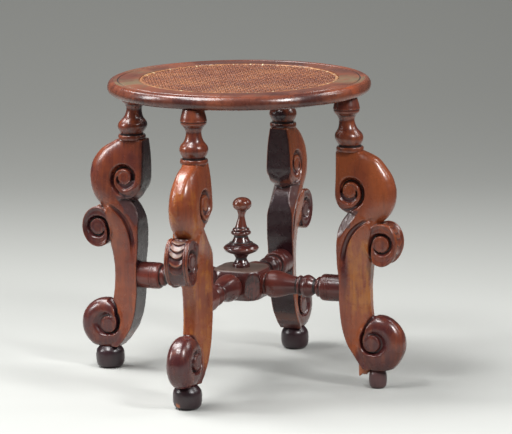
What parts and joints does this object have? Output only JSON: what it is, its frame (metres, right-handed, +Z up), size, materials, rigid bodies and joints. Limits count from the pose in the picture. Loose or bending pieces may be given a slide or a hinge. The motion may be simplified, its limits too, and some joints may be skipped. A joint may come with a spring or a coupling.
{
  "type": "stool",
  "caption": "Round low stool with a caned ring seat on carved scroll legs with bun feet, joined by turned stretchers that meet at a hub with a finial.",
  "frame": {"origin": "on the floor, on the seat's axis, between the feet", "axes": "+Z up along the seat's axis; +X towards the leg named right and +Y towards the leg named back"},
  "size_m": [0.506, 0.506, 0.441],
  "materials": {
    "seat_walnut": "polished, worn, reddish brown",
    "dowel_wood": "plain, hidden in the joints",
    "cane": "aged woven cane, satin",
    "binder_cane": "aged cane strip, satin",
    "leg_walnut": "polished, reddish brown with dark recesses",
    "foot_walnut": "polished, dark and worn",
    "stretcher_walnut": "polished, dark reddish brown",
    "hub_walnut": "polished, dark reddish brown",
    "finial_walnut": "polished, reddish brown"
  },
  "bodies": {
    "root": {"seat_segment_1": "seat_walnut", "seat_segment_2": "seat_walnut", "seat_segment_3": "seat_walnut", "seat_segment_4": "seat_walnut", "seat_dowels": "dowel_wood", "cane_panel": "cane", "cane_binder": "binder_cane", "leg_right": "leg_walnut", "foot_right": "foot_walnut", "stretcher_right": "stretcher_walnut", "leg_back": "leg_walnut", "foot_back": "foot_walnut", "stretcher_back": "stretcher_walnut", "leg_left": "leg_walnut", "foot_left": "foot_walnut", "stretcher_left": "stretcher_walnut", "leg_front": "leg_walnut", "foot_front": "foot_walnut", "stretcher_front": "stretcher_walnut", "stretcher_hub": "hub_walnut", "finial": "finial_walnut"}
  },
  "joints": []
}
